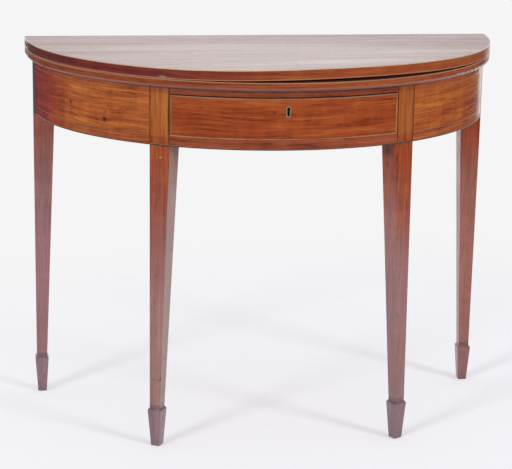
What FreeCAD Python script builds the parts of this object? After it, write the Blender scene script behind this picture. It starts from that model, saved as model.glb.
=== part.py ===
import FreeCAD, Part
import math
import os

# A half-round fold-over table: two hinged leaves on a curved frieze with a bowed drawer, two fixed front
# legs, and two rear legs that swing out on wooden knuckle joints to carry the opened leaf.
# X runs along the straight back edge, Y from front to back, Z up. The origin is the middle of the
# footprint, on the floor. Lengths are in millimetres and angles in degrees.

# Top leaves
top_radius = 460.0
table_height = 720.0
upper_leaf_thickness = 19.0
lower_leaf_thickness = 16.5
leaf_gap = 0.5
leaf_edge_gap = 0.2
leaf_overhang = 14.0
lower_leaf_round = 8.0
leaf_string_size = 1.8
leaf_string_end_gap = 9.0

# Leaf hinges, let into the rim at the back corners
strap_length = 62.0
strap_height = 6.5
strap_thickness = 3.0
strap_root_length = 9.0
eye_radius = 5.0
eye_clearance = 0.3
hinge_pin_radius = 1.6
strap_screw_shares = (0.45, 0.85)

# Screws: shank radius and length by use
hinge_screw_radius = 1.5
hinge_screw_length = 15.0
frame_screw_radius = 2.2
leaf_screw_length = 21.0
hinge_rail_screw_length = 34.0
lock_screw_radius = 1.1
lock_screw_length = 9.0
lock_screw_shares = (0.25, 0.75)
screw_head_share = 1.9
screw_slot_share = 0.35
screw_sink = 0.2

# Frieze
frieze_height = 107.5
frieze_thickness = 25.0
frieze_bead_height = 3.0
frieze_bead_projection = 1.55
frieze_bead_glue_gap = 0.25
frieze_string_size = 1.2
frieze_string_lift = 17.0
frieze_string_drop = 12.0
back_rail_thickness = 22.0
glue_block_size = 22.0
glue_block_half_angle = 3.0
glue_block_angles = (42.0, 55.0, 68.0)

# Legs
front_leg_angle = 30.3
front_leg_width = 40.0
rear_leg_width = 41.0
rear_leg_inset = 20.0
ankle_width = 20.5
spade_height = 76.0
spade_shoulder = 4.5
spade_top_width = 26.5
spade_toe_width = 17.0
spade_toe_chamfer = 1.5
tablet_margin = 2.0
tablet_thickness = 1.5
tenon_length_share = 0.42
tenon_height_share = 0.6
tenon_thickness_share = 0.4

# Swinging gates behind the back rail
gate_axis_x = 150.0
gate_clearance = 1.0
gate_leaf_clearance = 1.0
fly_rail_thickness = 22.0
knuckle_count = 5
knuckle_clearance = 0.5
gate_pin_radius = 3.0
hinge_rail_screw_shares = (-0.55, 0.0, 0.55)

# Rails that frame the drawer
bottom_rail_height = 18.6
top_rail_height = 11.6
drawer_rail_depth = 50.0
top_rail_end_gap = 1.0
rail_screw_angle = 16.0

# Drawer
drawer_end_clearance = 1.5
drawer_top_clearance = 2.0
drawer_run_clearance = 0.3
drawer_guide_clearance = 0.5
drawer_back_gap = 8.0
drawer_front_thickness = 24.0
drawer_side_inset = 3.0
drawer_side_thickness = 9.0
drawer_side_drop = 3.0
drawer_back_drop = 7.0
drawer_panel_thickness = 6.0
drawer_panel_lift = 6.0
groove_depth = 4.5
groove_clearance = 0.15
tail_count = 3
front_tail_length = 15.0
tail_root_share = 0.46
tail_end_share = 0.66
cock_bead_thickness = 2.5
cock_bead_depth = 8.0
cock_bead_projection = 1.5
runner_width = 14.0
guide_width = 14.0
guide_height = 38.0
kicker_width = 22.0
stop_height = 4.2
stop_depth = 14.0
stop_angle = 13.0
stop_half_angle = 2.2
stop_clearance = 0.3

# Drawer lock and keyhole
lock_width = 52.0
lock_height = 34.0
lock_depth = 11.0
lock_plate_thickness = 2.0
lock_flange = 9.0
lock_wall = 1.5
bolt_width = 17.0
bolt_thickness = 5.5
bolt_length = 10.0
bolt_travel = 6.5
bolt_clearance = 0.3
key_drop = 24.0
key_pin_radius = 1.4
escutcheon_height = 21.0
escutcheon_top_radius = 4.9
escutcheon_toe_radius = 4.6
escutcheon_depth = 4.0
escutcheon_stand = 0.3
escutcheon_wall = 2.2
keyhole_stem_share = 0.78

# Fits shared by the whole table
pin_clearance = 0.05
screw_clearance = 0.1
overrun = 5.0
quarter_turn = 90.0

# Levels and places that follow from the sizes above
frieze_radius = top_radius - leaf_overhang
back_edge_y = (top_radius - leaf_edge_gap - eye_radius) / 2
upper_leaf_z = table_height - upper_leaf_thickness
lower_leaf_top_z = upper_leaf_z - leaf_gap
frieze_top_z = lower_leaf_top_z - lower_leaf_thickness
frieze_bottom_z = frieze_top_z - frieze_height
frieze_heights = (frieze_bottom_z, frieze_top_z)
frieze_inner_radius = frieze_radius - frieze_thickness
pivot_y = back_edge_y + leaf_edge_gap
pivot_z = upper_leaf_z - leaf_gap / 2

rear_leg_back_y = back_edge_y - rear_leg_inset
rear_leg_front_y = rear_leg_back_y - rear_leg_width
rear_leg_inner_x = frieze_radius - rear_leg_width
frieze_end_y = rear_leg_front_y - gate_clearance
back_rail_front_y = frieze_end_y - back_rail_thickness
fly_rail_back_y = rear_leg_front_y + fly_rail_thickness
fly_rail_depths = (rear_leg_front_y, fly_rail_back_y)
gate_axis_y = rear_leg_front_y + fly_rail_thickness / 2
gate_top_z = pivot_z - leaf_gap / 2 - upper_leaf_thickness - gate_leaf_clearance
gate_heights = (frieze_bottom_z, gate_top_z)
gate_height = gate_top_z - frieze_bottom_z
knuckle_radius = fly_rail_thickness / 2

leg_face_radius = frieze_radius - tablet_thickness
leg_face_y = back_edge_y - leg_face_radius
leg_half = front_leg_width / 2
drawer_floor_z = frieze_bottom_z + bottom_rail_height
drawer_ceiling_z = frieze_top_z - top_rail_height
rail_inner_radius = frieze_radius - drawer_rail_depth

drawer_bottom_z = drawer_floor_z + drawer_run_clearance
drawer_top_z = drawer_ceiling_z - drawer_top_clearance
drawer_heights = (drawer_bottom_z, drawer_top_z)
drawer_inner_radius = frieze_radius - drawer_front_thickness
turn = math.radians(front_leg_angle)
doorway_half = (leg_face_radius - front_leg_width) * math.sin(turn) - leg_half * math.cos(turn)
side_outer_x = doorway_half - drawer_side_inset
side_inner_x = side_outer_x - drawer_side_thickness
side_top_z = drawer_top_z - drawer_side_drop
drawer_rear_y = back_rail_front_y - drawer_back_gap
drawer_back_thickness = drawer_side_thickness
back_top_z = drawer_top_z - drawer_back_drop
panel_z = drawer_bottom_z + drawer_panel_lift
panel_top_z = panel_z + drawer_panel_thickness
back_low_z = panel_top_z + groove_clearance

lock_inner_y = back_edge_y - drawer_inner_radius
bolt_middle_y = lock_inner_y - lock_plate_thickness - bolt_thickness / 2 - bolt_clearance
key_axis_z = drawer_top_z - key_drop + escutcheon_height / 2 - escutcheon_top_radius

centre = FreeCAD.Vector(0, back_edge_y, 0)
upright = FreeCAD.Vector(0, 0, 1)
sideways = FreeCAD.Vector(1, 0, 0)
inward = FreeCAD.Vector(0, 1, 0)
outward = FreeCAD.Vector(0, -1, 0)
nodes = {}


def point(x, y, z):
    return FreeCAD.Vector(x, y, z)


def block(x_span, y_span, z_span):
    """A box between two values on each axis."""
    corner = point(x_span[0], y_span[0], z_span[0])
    return Part.makeBox(x_span[1] - x_span[0], y_span[1] - y_span[0], z_span[1] - z_span[0], corner)


def disc(radius, z_span):
    """A full cylinder about the table's upright axis."""
    return Part.makeCylinder(radius, z_span[1] - z_span[0], point(0, back_edge_y, z_span[0]))


def turned(outline, angles):
    """Turns an outline of edges, drawn at the front, about the upright axis between two angles."""
    face = Part.Face(Part.Wire(outline))
    face.rotate(centre, upright, angles[0])
    return face.revolve(centre, upright, angles[1] - angles[0])


def section_point(radius, z):
    return point(0, back_edge_y - radius, z)


def ring(radii, z_span, angles):
    """A bent bar of rectangular section."""
    corners = [section_point(r, z) for r, z in (
        (radii[0], z_span[0]), (radii[1], z_span[0]), (radii[1], z_span[1]), (radii[0], z_span[1]))]
    return turned(Part.makePolygon(corners + corners[:1]).Edges, angles)


def nosed_outline(place, inner, outer, low, high):
    """A bar's outline with a half-round nose at its outer end; place makes a point of the two values."""
    nose = outer - (high - low) / 2
    corners = [place(nose, high), place(inner, high), place(inner, low), place(nose, low)]
    arc = Part.Arc(corners[3], place(outer, (low + high) / 2), corners[0]).toShape()
    return Part.makePolygon(corners).Edges + [arc]


def mirrored(shape):
    return shape.mirror(point(0, 0, 0), sideways)


def at_leg(shape):
    """Carries a shape drawn at the front to the right front leg's place."""
    moved = shape.copy()
    moved.rotate(centre, upright, front_leg_angle)
    return moved


def add(name, shape):
    nodes[name] = shape


def add_pair(name, shape):
    """Adds a right-hand piece and its mirror image."""
    add(name + "_right", shape)
    add(name + "_left", mirrored(shape))


def screw(head, direction, radius, length, slack=0.0):
    """A countersunk screw, or with slack the bore that takes it."""
    head_radius = radius * screw_head_share
    depth = head_radius - radius
    body = Part.makeCone(head_radius + slack, radius + slack, depth)
    body = body.fuse(Part.makeCylinder(radius + slack, length + slack))
    if slack:
        body = body.fuse(Part.makeCylinder(head_radius + slack, overrun, point(0, 0, -overrun)))
    else:
        half = radius * screw_slot_share / 2
        body = body.cut(block((-head_radius, head_radius), (-half, half), (-depth, depth / 2)))
    body.Placement = FreeCAD.Placement(head, FreeCAD.Rotation(upright, direction))
    return body


def without(shape, cutters):
    for cutter in cutters:
        shape = shape.cut(cutter)
    return shape


# Top leaves and their hinges

def rim_string(top_z):
    """An inlaid line round a leaf's arris, stopped short of the hinges."""
    reach = math.degrees(math.acos(leaf_string_end_gap / top_radius))
    radii = (top_radius - leaf_string_size, top_radius)
    return ring(radii, (top_z - leaf_string_size, top_z), (-reach, reach))


strap_inner_x = top_radius - strap_thickness
eye_layers = {
    "lower": (strap_inner_x, top_radius),
    "upper": (strap_inner_x - eye_clearance - strap_thickness, strap_inner_x - eye_clearance),
}
strap_middles = {
    "lower": (frieze_top_z + lower_leaf_round + lower_leaf_top_z - leaf_string_size) / 2,
    "upper": upper_leaf_z + upper_leaf_thickness / 2,
}


def eye(layer, radius):
    """A cylinder on the leaves' pivot line, between two values of x."""
    start = point(layer[0], pivot_y, pivot_z)
    return Part.makeCylinder(radius, layer[1] - layer[0], start, sideways)


def strap_screw_heads(leaf):
    """The right-hand hinge's screw places: head centre and direction into the rim."""
    sweep = math.degrees(strap_length / top_radius)
    for share in strap_screw_shares:
        angle = math.radians(quarter_turn - sweep * share)
        direction = FreeCAD.Vector(-math.sin(angle), math.cos(angle), 0)
        head = centre - direction * (top_radius - screw_sink)
        head.z = strap_middles[leaf]
        yield head, direction


def strap_screws(leaf, slack=0.0):
    return [screw(head, direction, hinge_screw_radius, hinge_screw_length, slack)
            for head, direction in strap_screw_heads(leaf)]


def hinge_strap(leaf, other):
    """One arm of the right-hand hinge: a plate bent to the rim, ending in an eye on the pivot line."""
    middle = strap_middles[leaf]
    heights = (middle - strap_height / 2, middle + strap_height / 2)
    layer = eye_layers[leaf]
    sweep = math.degrees(strap_length / top_radius)
    plate = ring((strap_inner_x, top_radius), heights, (quarter_turn - sweep, quarter_turn))
    root = block((layer[0], top_radius), (back_edge_y - strap_root_length, back_edge_y), heights)
    plate = plate.fuse(root.common(disc(top_radius, heights)))
    plate = plate.cut(eye(eye_layers[other], eye_radius + eye_clearance))
    neck_heights = (min(middle, pivot_z), max(middle, pivot_z))
    neck = block(layer, (pivot_y - eye_radius, back_edge_y), neck_heights)
    plate = plate.fuse(neck).fuse(eye(layer, eye_radius))
    bore = eye((0, top_radius + overrun), hinge_pin_radius + pin_clearance)
    return without(plate, [bore] + strap_screws(leaf, screw_clearance)).removeSplitter()


def both_sides(shapes):
    return shapes + [mirrored(shape) for shape in shapes]


def fixing_screw_heads():
    """Screws up into the lower leaf: two through the drawer's top rail, the rest through glue blocks."""
    block_radius = frieze_inner_radius - glue_block_size / 2
    rail_radius = frieze_radius - drawer_rail_depth / 2
    places = [(rail_radius, rail_screw_angle)] + [(block_radius, angle) for angle in glue_block_angles]
    for radius, angle in places:
        for side in (1, -1):
            swing = math.radians(angle * side)
            x = radius * math.sin(swing)
            y = back_edge_y - radius * math.cos(swing)
            yield point(x, y, drawer_ceiling_z + screw_sink)


def fixing_screws(slack=0.0):
    return [screw(head, upright, frame_screw_radius, leaf_screw_length, slack)
            for head in fixing_screw_heads()]


def fixing_pockets():
    """Bores for the fixing screws, deep enough below each head to reach out of a glue block."""
    head_radius = frame_screw_radius * screw_head_share + screw_clearance
    pockets = [Part.makeCylinder(head_radius, glue_block_size, head - upright * glue_block_size)
               for head in fixing_screw_heads()]
    return pockets + fixing_screws(screw_clearance)


def lower_leaf_blank():
    """A half disc with its lower rim rounded."""
    low = frieze_top_z
    shoulder = low + lower_leaf_round
    inner = top_radius - lower_leaf_round
    bend = lower_leaf_round / math.sqrt(2)
    middle = section_point(inner + bend, shoulder - bend)
    arc = Part.Arc(section_point(inner, low), middle, section_point(top_radius, shoulder)).toShape()
    rest = Part.makePolygon([
        section_point(top_radius, shoulder), section_point(top_radius, lower_leaf_top_z),
        section_point(0, lower_leaf_top_z), section_point(0, low), section_point(inner, low)])
    return turned([arc] + rest.Edges, (-quarter_turn, quarter_turn))


def build_top():
    notch = eye((eye_layers["upper"][0] - eye_clearance, top_radius + overrun), eye_radius + eye_clearance)
    upper = ring((0, top_radius), (upper_leaf_z, table_height), (-quarter_turn, quarter_turn))
    upper_strings = [rim_string(table_height), rim_string(upper_leaf_z + leaf_string_size)]
    lower_string = rim_string(lower_leaf_top_z)
    upper_strap = hinge_strap("upper", "lower")
    lower_strap = hinge_strap("lower", "upper")
    upper_fittings = [notch, upper_strap] + strap_screws("upper", screw_clearance)
    lower_fittings = [notch, lower_strap] + strap_screws("lower", screw_clearance)
    lower_leaf = without(lower_leaf_blank(), both_sides(lower_fittings) + [lower_string])
    add("upper_leaf", without(upper, both_sides(upper_fittings) + upper_strings))
    add("lower_leaf", without(lower_leaf, fixing_screws(screw_clearance)))
    add("upper_leaf_top_string", upper_strings[0])
    add("upper_leaf_bottom_string", upper_strings[1])
    add("lower_leaf_string", lower_string)
    add_pair("upper_hinge_strap", upper_strap)
    add_pair("lower_hinge_strap", lower_strap)
    add_pair("hinge_pin", eye((eye_layers["upper"][0], top_radius), hinge_pin_radius))
    for leaf in ("upper", "lower"):
        add(leaf + "_hinge_screws", Part.makeCompound(both_sides(strap_screws(leaf))))
    add("leaf_fixing_screws", Part.makeCompound(fixing_screws()))


# Legs

def stacked_squares(squares):
    """A solid through level squares, each given by its outer corner, its width and its height."""
    levels = []
    for x, y, width, z in squares:
        corners = ((x, y), (x, y + width), (x - width, y + width), (x - width, y))
        levels.append([point(corner_x, corner_y, z) for corner_x, corner_y in corners])
    outlines = [levels[0], levels[-1]]
    for low, high in zip(levels, levels[1:]):
        for i in range(len(low)):
            outlines.append([low[i - 1], low[i], high[i], high[i - 1]])
    faces = [Part.Face(Part.makePolygon(outline + outline[:1])) for outline in outlines]
    return Part.Solid(Part.Shell(faces))


def tapered_leg(width, top_z):
    """A square leg, its outer corner at x = 0 and y = 0, tapered on the two faces away from that corner."""
    def foot_square(foot_width, z):
        stand = (foot_width - ankle_width) / 2
        return (stand, -stand, foot_width, z)

    return stacked_squares([
        foot_square(spade_toe_width - spade_toe_chamfer * 2, 0),
        foot_square(spade_toe_width, spade_toe_chamfer),
        foot_square(spade_top_width, spade_height - spade_shoulder),
        (0, 0, ankle_width, spade_height),
        (0, 0, width, frieze_bottom_z),
        (0, 0, width, top_z)])


def tenon(x_span, y_middle, thickness, z_span):
    """A tongue centred in the depth and height of the rail that it ends."""
    y_half = thickness * tenon_thickness_share / 2
    z_middle = (z_span[0] + z_span[1]) / 2
    z_half = (z_span[1] - z_span[0]) * tenon_height_share / 2
    return block(x_span, (y_middle - y_half, y_middle + y_half), (z_middle - z_half, z_middle + z_half))


leg_tenon_length = front_leg_width * tenon_length_share


def frieze_tenon():
    middle = back_edge_y - frieze_radius + frieze_thickness / 2
    root = leg_half + frieze_thickness * tenon_thickness_share
    return at_leg(tenon((leg_half - leg_tenon_length, root), middle, frieze_thickness, frieze_heights))


def rail_tenon(z_span):
    """The right-hand tongue of a drawer rail, let into the front leg's inner side."""
    middle = leg_face_y + leg_half
    root = -leg_half - front_leg_width * tenon_thickness_share
    return at_leg(tenon((root, leg_tenon_length - leg_half), middle, front_leg_width, z_span))


top_rail_heights = (drawer_ceiling_z, frieze_top_z)
bottom_rail_heights = (frieze_bottom_z, drawer_floor_z)


def build_front_legs():
    leg = tapered_leg(front_leg_width, frieze_top_z)
    leg.translate(point(leg_half, leg_face_y, 0))
    tongues = [frieze_tenon(), rail_tenon(top_rail_heights), rail_tenon(bottom_rail_heights)]
    add_pair("front_leg", without(at_leg(leg), tongues))
    half = leg_half - tablet_margin
    tablet = block((-half, half), (back_edge_y - frieze_radius, leg_face_y), frieze_heights)
    add_pair("tablet", at_leg(tablet.common(disc(frieze_radius, frieze_heights))))


# Frieze and fixed rails

def leg_zone(x_span):
    """The slab of space between two planes parallel to the right front leg's sides."""
    return at_leg(block(x_span, (back_edge_y - top_radius, back_edge_y), (0, table_height)))


def beyond(x):
    """All that lies outside a plane parallel to the front legs' sides, at both legs."""
    zone = leg_zone((x, top_radius))
    return [zone, mirrored(zone)]


def behind(y):
    return block((-top_radius, top_radius), (y, back_edge_y + overrun), (0, table_height))


def side_panel(inner_radius, z_span):
    """A curved piece of the right-hand frieze, from the front leg to the frieze's back end."""
    panel = ring((inner_radius, frieze_radius), z_span, (front_leg_angle, quarter_turn))
    return without(panel, [behind(frieze_end_y), leg_zone((-top_radius, leg_half))])


def frieze_string():
    """The fine line inlaid in a side panel: a run below, a run above and an upright beside the leg."""
    low = frieze_bottom_z + frieze_string_lift
    high = frieze_top_z - frieze_string_drop
    field_heights = (low + frieze_string_size, high - frieze_string_size)
    field = ring((0, top_radius), field_heights, (front_leg_angle, quarter_turn))
    field = field.cut(leg_zone((-top_radius, leg_half + frieze_string_size)))
    return side_panel(frieze_radius - frieze_string_size, (low, high)).cut(field)


def build_frieze():
    string = frieze_string()
    side = side_panel(frieze_inner_radius, frieze_heights)
    add_pair("frieze", side.fuse(frieze_tenon()).removeSplitter().cut(string))
    add_pair("frieze_string", string)

    bead_top = frieze_bottom_z + frieze_bead_height
    bead_radius = frieze_radius + frieze_bead_glue_gap
    bead_nose_radius = bead_radius + frieze_bead_projection
    outline = nosed_outline(section_point, bead_radius, bead_nose_radius, frieze_bottom_z, bead_top)
    add("frieze_bead", turned(outline, (-quarter_turn, quarter_turn)).cut(behind(frieze_end_y)))

    bores = hinge_rail_screws(screw_clearance)
    back = block((-frieze_radius, frieze_radius), (back_rail_front_y, frieze_end_y), frieze_heights)
    add("back_rail", without(back.common(disc(frieze_inner_radius, frieze_heights)), bores))

    blocks = []
    for angle in glue_block_angles:
        span = (angle - glue_block_half_angle, angle + glue_block_half_angle)
        radii = (frieze_inner_radius - glue_block_size, frieze_inner_radius)
        blocks.append(ring(radii, (frieze_top_z - glue_block_size, frieze_top_z), span))
    bores = fixing_pockets()
    add("glue_blocks", Part.makeCompound([without(piece, bores) for piece in both_sides(blocks)]))


def drawer_rail(z_span, end_gap):
    span = (-front_leg_angle, front_leg_angle)
    rail = ring((rail_inner_radius, frieze_radius), z_span, span)
    rail = without(rail, beyond(-leg_half - end_gap))
    tongue = rail_tenon(z_span)
    return rail.fuse(tongue).fuse(mirrored(tongue)).removeSplitter()


def bolt_slot():
    """The mortise in the top rail that the lock's bolt shoots into."""
    half_width = bolt_width / 2 + bolt_clearance
    half_depth = bolt_thickness / 2 + bolt_clearance
    top = drawer_top_z + bolt_travel + bolt_clearance
    return block((-half_width, half_width), (bolt_middle_y - half_depth, bolt_middle_y + half_depth),
                 (drawer_ceiling_z - overrun, top))


def build_drawer_housing():
    top_rail = drawer_rail(top_rail_heights, top_rail_end_gap)
    add("drawer_top_rail", without(top_rail, [bolt_slot()] + fixing_pockets()))
    add("drawer_bottom_rail", drawer_rail(bottom_rail_heights, 0))

    depths = (back_edge_y - top_radius, back_rail_front_y)
    inside_x = side_outer_x + drawer_guide_clearance
    inside = disc(rail_inner_radius, frieze_heights)
    runner = block((side_outer_x - runner_width, inside_x + guide_width), depths, bottom_rail_heights)
    guide_heights = (drawer_floor_z, drawer_floor_z + guide_height)
    guide = block((inside_x, inside_x + guide_width), depths, guide_heights)
    kicker = block((side_outer_x - kicker_width, side_outer_x), depths, top_rail_heights)
    add_pair("drawer_runner", runner.common(inside))
    add_pair("drawer_guide", guide.common(inside))
    add_pair("drawer_kicker", kicker.common(inside))
    stop_radius = drawer_inner_radius - stop_clearance
    stop = ring((stop_radius - stop_depth, stop_radius), (drawer_floor_z, drawer_floor_z + stop_height),
                (stop_angle - stop_half_angle, stop_angle + stop_half_angle))
    add_pair("drawer_stop", stop)


# Gates

def knuckle_slots(levels):
    """The gaps between the right-hand knuckle's fingers, cut where the other half's fingers turn."""
    pitch = gate_height / knuckle_count
    reach = knuckle_radius + knuckle_clearance
    ease = knuckle_clearance / 2
    for level in levels:
        low = frieze_bottom_z + pitch * level
        yield block((gate_axis_x - reach, gate_axis_x + reach),
                    (frieze_end_y - overrun, fly_rail_back_y + overrun), (low - ease, low + pitch + ease))


def knuckle_round(radius):
    """A cylinder on the right-hand gate's axis."""
    return Part.makeCylinder(radius, gate_height, point(gate_axis_x, gate_axis_y, frieze_bottom_z))


def hinge_rail_screws(slack=0.0):
    middle = point(0, fly_rail_back_y - screw_sink, (frieze_bottom_z + gate_top_z) / 2)
    heads = [middle + sideways * gate_axis_x * share for share in hinge_rail_screw_shares]
    return [screw(head, outward, frame_screw_radius, hinge_rail_screw_length, slack) for head in heads]


def build_gates():
    own_levels = range(0, knuckle_count, 2)
    gate_levels = range(1, knuckle_count, 2)
    pin_bore = knuckle_round(gate_pin_radius + pin_clearance)
    end = knuckle_round(knuckle_radius)

    fixed = block((-gate_axis_x, gate_axis_x), (frieze_end_y, fly_rail_back_y), gate_heights)
    slots = list(knuckle_slots(gate_levels))
    fixed = fixed.fuse(end).fuse(mirrored(end))
    fixed = without(fixed, both_sides(slots + [pin_bore]) + hinge_rail_screws(screw_clearance))
    add("fixed_hinge_rail", fixed.removeSplitter())
    add("hinge_rail_screws", Part.makeCompound(hinge_rail_screws()))
    add_pair("gate_pin", knuckle_round(gate_pin_radius))

    tongue_end = rear_leg_inner_x + rear_leg_width * tenon_length_share
    tongue_span = (rear_leg_inner_x - fly_rail_thickness, tongue_end)
    tongue = tenon(tongue_span, gate_axis_y, fly_rail_thickness, gate_heights)
    fly = block((gate_axis_x, rear_leg_inner_x), fly_rail_depths, gate_heights).fuse(end)
    fly = without(fly, list(knuckle_slots(own_levels)) + [pin_bore])
    add_pair("fly_rail", fly.fuse(tongue).removeSplitter())

    leg = tapered_leg(rear_leg_width, gate_top_z).mirror(point(0, 0, 0), inward)
    leg.translate(point(frieze_radius, rear_leg_back_y, 0))
    add_pair("rear_leg", leg.cut(tongue))


# Drawer

def tails(root_y, shoulder_y, end_y, z_span):
    """Dovetails on a drawer side, widening from the shoulder to the end."""
    pitch = (z_span[1] - z_span[0]) / tail_count
    root_half = pitch * tail_root_share / 2
    end_half = pitch * tail_end_share / 2
    for i in range(tail_count):
        middle = z_span[0] + pitch * i + pitch / 2
        corners = [point(side_inner_x, y, middle + half) for y, half in (
            (root_y, root_half), (shoulder_y, root_half), (end_y, end_half),
            (end_y, -end_half), (shoulder_y, -root_half), (root_y, -root_half))]
        face = Part.Face(Part.makePolygon(corners + corners[:1]))
        yield face.extrude(sideways * drawer_side_thickness)


def panel_space(slack):
    """The drawer's bottom panel, or with slack the grooves that hold it."""
    half = side_inner_x + groove_depth - groove_clearance + slack
    z_span = (panel_z - slack, panel_top_z + slack)
    radius = drawer_inner_radius + groove_depth - groove_clearance + slack
    slab = block((-half, half), (back_edge_y - top_radius, drawer_rear_y + slack), z_span)
    return slab.common(disc(radius, z_span))


def cock_beads():
    """The beads round the drawer front, let into rebates along its edges."""
    inner = frieze_radius - cock_bead_depth
    outer = frieze_radius + cock_bead_projection
    end_x = -leg_half - drawer_end_clearance
    span = (-front_leg_angle, front_leg_angle)
    low = nosed_outline(section_point, inner, outer, drawer_bottom_z, drawer_bottom_z + cock_bead_thickness)
    high = nosed_outline(section_point, inner, outer, drawer_top_z - cock_bead_thickness, drawer_top_z)
    bottom = without(turned(low, span), beyond(end_x))
    top = without(turned(high, span), beyond(end_x))
    base_z = drawer_bottom_z + cock_bead_thickness
    bow = frieze_radius - math.sqrt(frieze_radius ** 2 - end_x ** 2)
    side = nosed_outline(lambda radius, x: point(x, back_edge_y - radius + bow, base_z),
                         inner, outer, end_x - cock_bead_thickness, end_x)
    upright_run = upright * (drawer_top_z - drawer_bottom_z - cock_bead_thickness * 2)
    return top, bottom, at_leg(Part.Face(Part.Wire(side)).extrude(upright_run))


def keyhole_prism(crown_radius, toe_radius, height, y, depth):
    """A slot with two round ends, each of its own radius, run inward from an upright plane."""
    toe_z = key_axis_z + crown_radius + toe_radius - height
    lean = math.asin((crown_radius - toe_radius) / (key_axis_z - toe_z))
    across = math.cos(lean)
    rise = math.sin(lean)
    high = point(crown_radius * across, y, key_axis_z + crown_radius * rise)
    low = point(toe_radius * across, y, toe_z + toe_radius * rise)
    crown = Part.Arc(high, point(0, y, key_axis_z + crown_radius), point(-high.x, y, high.z)).toShape()
    toe = Part.Arc(low, point(0, y, toe_z - toe_radius), point(-low.x, y, low.z)).toShape()
    sides = both_sides([Part.makeLine(low, high)])
    return Part.Face(Part.Wire(Part.sortEdges([crown, toe] + sides)[0])).extrude(inward * depth)


def lock_body(reach=0.0):
    """A flat plate let into the drawer front's back with a box before it, or with reach its open pocket."""
    heights = (drawer_top_z - lock_height, drawer_top_z)
    half = lock_width / 2
    core = half - lock_flange
    back_y = lock_inner_y + reach
    plate = block((-half, half), (lock_inner_y - lock_plate_thickness, back_y), heights)
    return plate.fuse(block((-core, core), (lock_inner_y - lock_depth, back_y), heights)).removeSplitter()


def lock_screws(slack=0.0):
    screws = []
    x = (lock_width - lock_flange) / 2
    for share in lock_screw_shares:
        head = point(x, lock_inner_y - screw_sink, drawer_top_z - lock_height * share)
        screws.append(screw(head, outward, lock_screw_radius, lock_screw_length, slack))
    return both_sides(screws)


def build_lock():
    front_wall_y = lock_inner_y - lock_depth
    half = bolt_width / 2
    half_depth = bolt_thickness / 2
    bolt_heights = (drawer_top_z - bolt_length, drawer_top_z)
    bolt = block((-half, half), (bolt_middle_y - half_depth, bolt_middle_y + half_depth), bolt_heights)
    way = block((-half - bolt_clearance, half + bolt_clearance),
                (bolt_middle_y - half_depth - bolt_clearance, bolt_middle_y + half_depth + bolt_clearance),
                (bolt_heights[0] - bolt_clearance, drawer_top_z + overrun))
    core = lock_width / 2 - lock_flange - lock_wall
    chamber = block((-core, core), (front_wall_y - overrun, lock_inner_y - lock_plate_thickness),
                    (drawer_top_z - lock_height + lock_wall, bolt_heights[0] - lock_wall))
    case = without(lock_body(), [way, chamber] + lock_screws(screw_clearance))
    pin_length = lock_depth - lock_plate_thickness
    pin_start = point(0, front_wall_y, key_axis_z)
    add("lock_case", case)
    add("lock_key_pin", Part.makeCylinder(key_pin_radius, pin_length, pin_start, inward))
    add("lock_bolt", bolt)
    add("lock_screws", Part.makeCompound(lock_screws()))


def build_drawer():
    face_y = back_edge_y - frieze_radius
    shoulder_y = back_edge_y - drawer_inner_radius * math.cos(math.asin(side_inner_x / drawer_inner_radius))
    tail_end_y = shoulder_y - front_tail_length
    side_heights = (drawer_bottom_z, side_top_z)
    back_heights = (back_low_z, back_top_z)
    back_shoulder_y = drawer_rear_y - drawer_back_thickness
    back_root_y = back_shoulder_y - drawer_back_thickness
    front_tails = list(tails(shoulder_y + front_tail_length, shoulder_y, tail_end_y, side_heights))
    back_tails = list(tails(back_root_y, back_shoulder_y, drawer_rear_y, back_heights))

    side = block((side_inner_x, side_outer_x), (face_y, back_shoulder_y), side_heights)
    side = side.common(disc(drawer_inner_radius, side_heights))
    for tail in front_tails + back_tails:
        side = side.fuse(tail)
    add_pair("drawer_side", side.cut(panel_space(groove_clearance)).removeSplitter())

    back = block((-side_outer_x, side_outer_x), (back_shoulder_y, drawer_rear_y), back_heights)
    add("drawer_back", without(back, both_sides(back_tails)))
    add("drawer_bottom", panel_space(0))

    top_bead, bottom_bead, side_bead = cock_beads()
    brass_face_y = face_y - escutcheon_stand
    plate = keyhole_prism(escutcheon_top_radius, escutcheon_toe_radius, escutcheon_height, brass_face_y,
                          escutcheon_stand + escutcheon_depth)
    hole_radius = escutcheon_top_radius - escutcheon_wall
    hole_height = escutcheon_height - escutcheon_wall * 2
    hole_depth = overrun + drawer_front_thickness - lock_depth
    stem_radius = hole_radius * keyhole_stem_share
    hole = keyhole_prism(hole_radius, stem_radius, hole_height, face_y - overrun, hole_depth)
    front = ring((drawer_inner_radius, frieze_radius), drawer_heights, (-front_leg_angle, front_leg_angle))
    front = without(front, beyond(-leg_half - drawer_end_clearance))
    front = without(front, [top_bead, bottom_bead, side_bead, mirrored(side_bead)])
    front = without(front, both_sides(front_tails) + [panel_space(groove_clearance)])
    front = without(front, [lock_body(overrun), plate, hole])
    add("drawer_front", without(front, lock_screws(screw_clearance)))
    add("cock_bead_top", top_bead)
    add("cock_bead_bottom", bottom_bead)
    add_pair("cock_bead", side_bead)
    add("escutcheon", plate.cut(hole))


build_top()
build_front_legs()
build_frieze()
build_drawer_housing()
build_gates()
build_drawer()
build_lock()

os.makedirs("parts", exist_ok=True)
for name, shape in nodes.items():
    shape.exportStep("parts/" + name + ".step")
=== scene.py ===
import math
from functools import partial

import bmesh
import bpy
from mathutils import Matrix, Vector


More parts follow.
